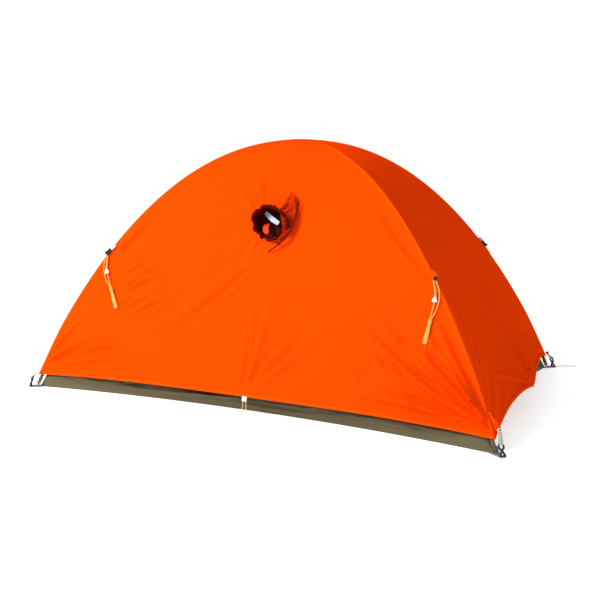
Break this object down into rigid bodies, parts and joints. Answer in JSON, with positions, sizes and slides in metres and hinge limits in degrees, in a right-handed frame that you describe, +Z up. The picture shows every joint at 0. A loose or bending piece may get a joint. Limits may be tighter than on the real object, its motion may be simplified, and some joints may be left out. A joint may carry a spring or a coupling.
{
  "type": "dome tent on poles",
  "caption": "Free-standing dome tent: crossing poles carry an inner tent with a tub floor, under a separate fly with a vent sleeve and a door.",
  "frame": {"origin": "middle of the floor, on the ground", "axes": "+X along the long side, +Y to the long side with the doors, +Z up"},
  "size_m": [2.3062, 1.3614, 1.086],
  "materials": {
    "aluminium": "satin",
    "black_plastic": "satin",
    "elastic": "woven",
    "fly_cloth": "ripstop with a satin coating",
    "guy_cord": "braided",
    "inner_cloth": "matte",
    "mesh_cloth": "mesh",
    "peg_cord": "braided",
    "red_cord": "braided",
    "rubber": "matte",
    "sleeve_cloth": "matte",
    "tub_cloth": "coated, satin",
    "vent_cloth": "matte",
    "webbing": "woven",
    "white_plastic": "satin"
  },
  "bodies": {
    "tent": {"corner_tab_front_left": "webbing", "corner_tab_front_right": "webbing", "corner_tab_rear_left": "webbing", "corner_tab_rear_right": "webbing", "fly_front_wall": "fly_cloth", "fly_left_wall": "fly_cloth", "fly_rear_wall": "fly_cloth", "fly_right_wall": "fly_cloth", "fly_strap_front_left": "elastic", "fly_strap_front_right": "elastic", "fly_strap_rear_left": "elastic", "fly_strap_rear_right": "elastic", "hem_loop_front": "peg_cord", "inner_front_wall": "inner_cloth", "inner_left_wall": "inner_cloth", "inner_rear_wall": "inner_cloth", "inner_right_wall": "inner_cloth", "peg_loop_front_left": "peg_cord", "peg_loop_front_right": "peg_cord", "peg_loop_rear_left": "peg_cord", "peg_loop_rear_right": "peg_cord", "pole_a_section_1": "aluminium", "pole_a_section_2": "aluminium", "pole_a_section_3": "aluminium", "pole_a_section_4": "aluminium", "pole_a_shock_cord": "rubber", "pole_a_tip_left": "aluminium", "pole_a_tip_right": "aluminium", "pole_b_section_1": "aluminium", "pole_b_section_2": "aluminium", "pole_b_section_3": "aluminium", "pole_b_section_4": "aluminium", "pole_b_shock_cord": "rubber", "pole_b_tip_left": "aluminium", "pole_b_tip_right": "aluminium", "sleeve_a_left": "sleeve_cloth", "sleeve_a_right": "sleeve_cloth", "sleeve_b_left": "sleeve_cloth", "sleeve_b_right": "sleeve_cloth", "tub_floor": "tub_cloth", "vent_drawcord": "red_cord", "vent_mesh": "mesh_cloth", "vent_sleeve": "vent_cloth"},
    "fly_door": {"fly_door": "fly_cloth"},
    "inner_door": {"inner_door": "inner_cloth"},
    "fly_zip_slider": {"fly_zip_slider": "black_plastic"},
    "fly_zip_pull": {"fly_zip_pull": "black_plastic"},
    "inner_zip_slider": {"inner_zip_slider": "black_plastic"},
    "corner_hook_front_left": {"corner_hook_front_left": "black_plastic"},
    "corner_hook_front_right": {"corner_hook_front_right": "black_plastic"},
    "corner_hook_rear_right": {"corner_hook_rear_right": "black_plastic"},
    "corner_hook_rear_left": {"corner_hook_rear_left": "black_plastic"},
    "guy_line_front_left": {"guy_line_front_left": "guy_cord"},
    "guy_tensioner_front_left": {"guy_tensioner_front_left": "white_plastic"},
    "guy_line_front_right": {"guy_line_front_right": "guy_cord"},
    "guy_tensioner_front_right": {"guy_tensioner_front_right": "white_plastic"},
    "guy_line_rear_right": {"guy_line_rear_right": "guy_cord"},
    "guy_tensioner_rear_right": {"guy_tensioner_rear_right": "white_plastic"},
    "guy_line_rear_left": {"guy_line_rear_left": "guy_cord"},
    "guy_tensioner_rear_left": {"guy_tensioner_rear_left": "white_plastic"}
  },
  "joints": [
    {"name": "fly_door_hinge", "type": "hinge", "parent": "tent", "child": "fly_door", "pos_m": [-0.55, 0.60363, 0.086], "axis": [0.4485, -0.32, 0.8345], "range_deg": [0, 120]},
    {"name": "inner_door_hinge", "type": "hinge", "parent": "tent", "child": "inner_door", "pos_m": [0, 0.52375, 0.12961], "axis": [1, 0, 0], "range_deg": [0, 80]},
    {"name": "fly_zip_slide", "type": "slide", "parent": "tent", "child": "fly_zip_slider", "axis": [-0.4485, -0.32, 0.8345], "range_m": [0, 0.7964]},
    {"name": "fly_zip_pull_hinge", "type": "hinge", "parent": "fly_zip_slider", "child": "fly_zip_pull", "pos_m": [0.5471, 0.60147, 0.1095], "axis": [0.8938, -0.1606, 0.4188], "range_deg": [0, 150]},
    {"name": "inner_zip_slide", "type": "slide", "parent": "tent", "child": "inner_zip_slider", "axis": [-0.4378, -0.2903, 0.8509], "range_m": [0, 0.7086]},
    {"name": "corner_hook_front_left_swivel", "type": "hinge", "parent": "tent", "child": "corner_hook_front_left", "pos_m": [-1.05544, -0.6202, 0.00455], "axis": [0.5066, -0.8622, 0], "range_deg": [0, 60]},
    {"name": "corner_hook_front_right_swivel", "type": "hinge", "parent": "tent", "child": "corner_hook_front_right", "pos_m": [1.05544, -0.6202, 0.00455], "axis": [0.5066, 0.8622, 0], "range_deg": [0, 60]},
    {"name": "corner_hook_rear_right_swivel", "type": "hinge", "parent": "tent", "child": "corner_hook_rear_right", "pos_m": [1.05544, 0.6202, 0.00455], "axis": [-0.5066, 0.8622, 0], "range_deg": [0, 60]},
    {"name": "corner_hook_rear_left_swivel", "type": "hinge", "parent": "tent", "child": "corner_hook_rear_left", "pos_m": [-1.05544, 0.6202, 0.00455], "axis": [-0.5066, -0.8622, 0], "range_deg": [0, 60]},
    {"name": "guy_line_front_left_swing", "type": "hinge", "parent": "tent", "child": "guy_line_front_left", "pos_m": [-0.73594, -0.44181, 0.59469], "axis": [-0.9417, -0.1441, -0.3041], "range_deg": [0, 70]},
    {"name": "guy_tensioner_front_left_slide", "type": "slide", "parent": "guy_line_front_left", "child": "guy_tensioner_front_left", "axis": [0.3339, -0.2876, -0.8977], "range_m": [-0.03, 0.03]},
    {"name": "guy_line_front_right_swing", "type": "hinge", "parent": "tent", "child": "guy_line_front_right", "pos_m": [0.73599, -0.44182, 0.59467], "axis": [-0.9986, 0.0455, 0.0281], "range_deg": [0, 70]},
    {"name": "guy_tensioner_front_right_slide", "type": "slide", "parent": "guy_line_front_right", "child": "guy_tensioner_front_right", "axis": [-0.041, -0.3146, -0.9483], "range_m": [-0.03, 0.03]},
    {"name": "guy_line_rear_right_swing", "type": "hinge", "parent": "tent", "child": "guy_line_rear_right", "pos_m": [0.73599, 0.44182, 0.59467], "axis": [0.9994, 0.0326, 0.0109], "range_deg": [0, 70]},
    {"name": "guy_tensioner_rear_right_slide", "type": "slide", "parent": "guy_line_rear_right", "child": "guy_tensioner_rear_right", "axis": [0, 0.3162, -0.9487], "range_m": [-0.03, 0.03]},
    {"name": "guy_line_rear_left_swing", "type": "hinge", "parent": "tent", "child": "guy_line_rear_left", "pos_m": [-0.73599, 0.44182, 0.59467], "axis": [0.9994, -0.0326, -0.0109], "range_deg": [0, 70]},
    {"name": "guy_tensioner_rear_left_slide", "type": "slide", "parent": "guy_line_rear_left", "child": "guy_tensioner_rear_left", "axis": [0, 0.3162, -0.9487], "range_m": [-0.03, 0.03]}
  ]
}
